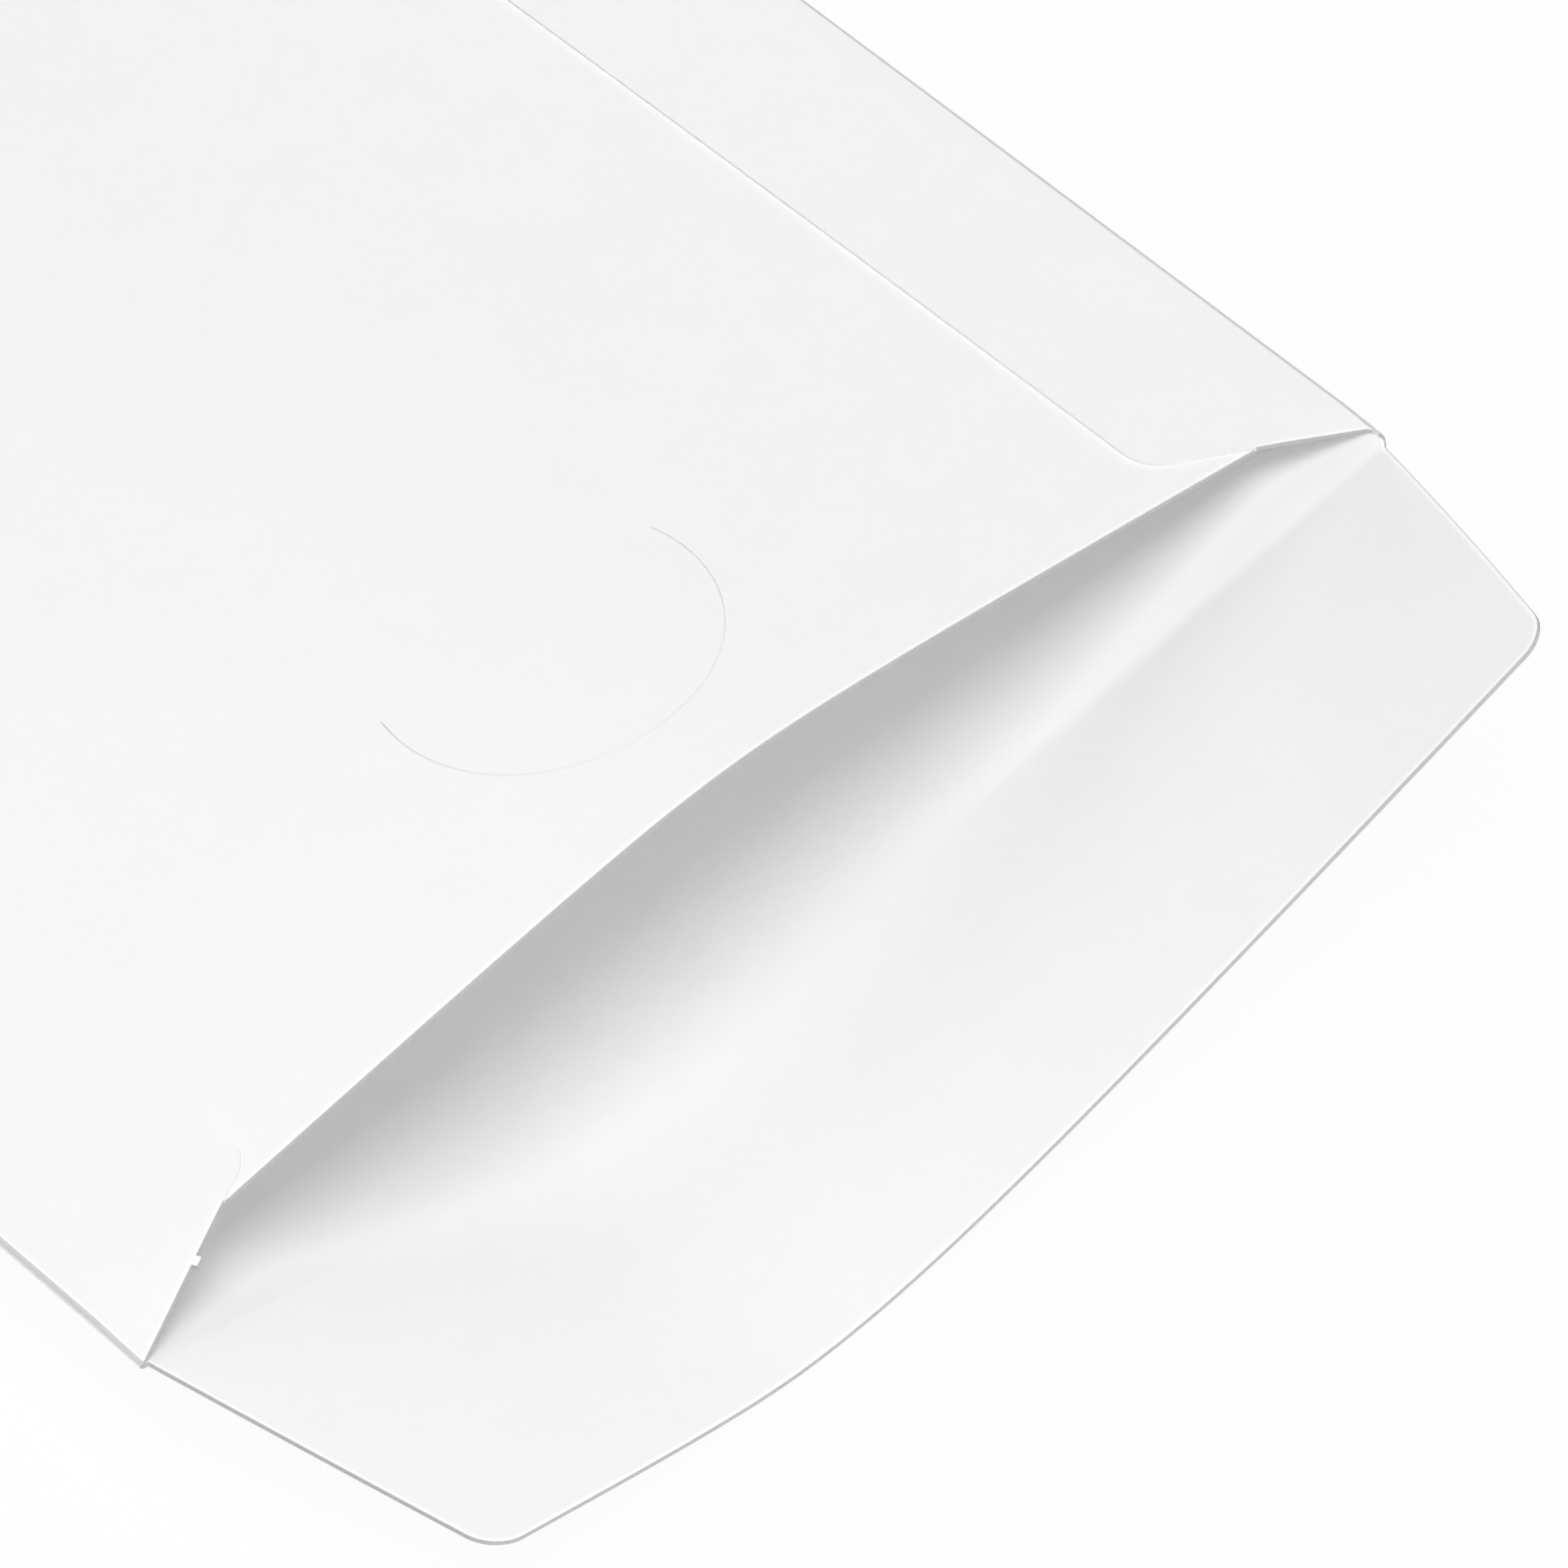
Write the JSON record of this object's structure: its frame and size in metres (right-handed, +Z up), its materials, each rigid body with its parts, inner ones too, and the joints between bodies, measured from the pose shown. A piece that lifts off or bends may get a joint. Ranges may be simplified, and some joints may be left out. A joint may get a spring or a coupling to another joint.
{
  "type": "cd sleeve",
  "caption": "White card sleeve for one disc, folded and glued from one blank, with a gaping mouth, an open closure flap and a half-moon slit that catches it.",
  "frame": {"origin": "on the table, under the middle of the sleeve's outline with its flap open", "axes": "+Y from the closure flap to the far fold, +X across the mouth to the right as seen from the flap, +Z up"},
  "size_m": [0.125, 0.1522, 0.0202],
  "materials": {
    "card": "uncoated smooth white card, matte"
  },
  "bodies": {
    "root": {"sleeve": "card"}
  },
  "joints": []
}
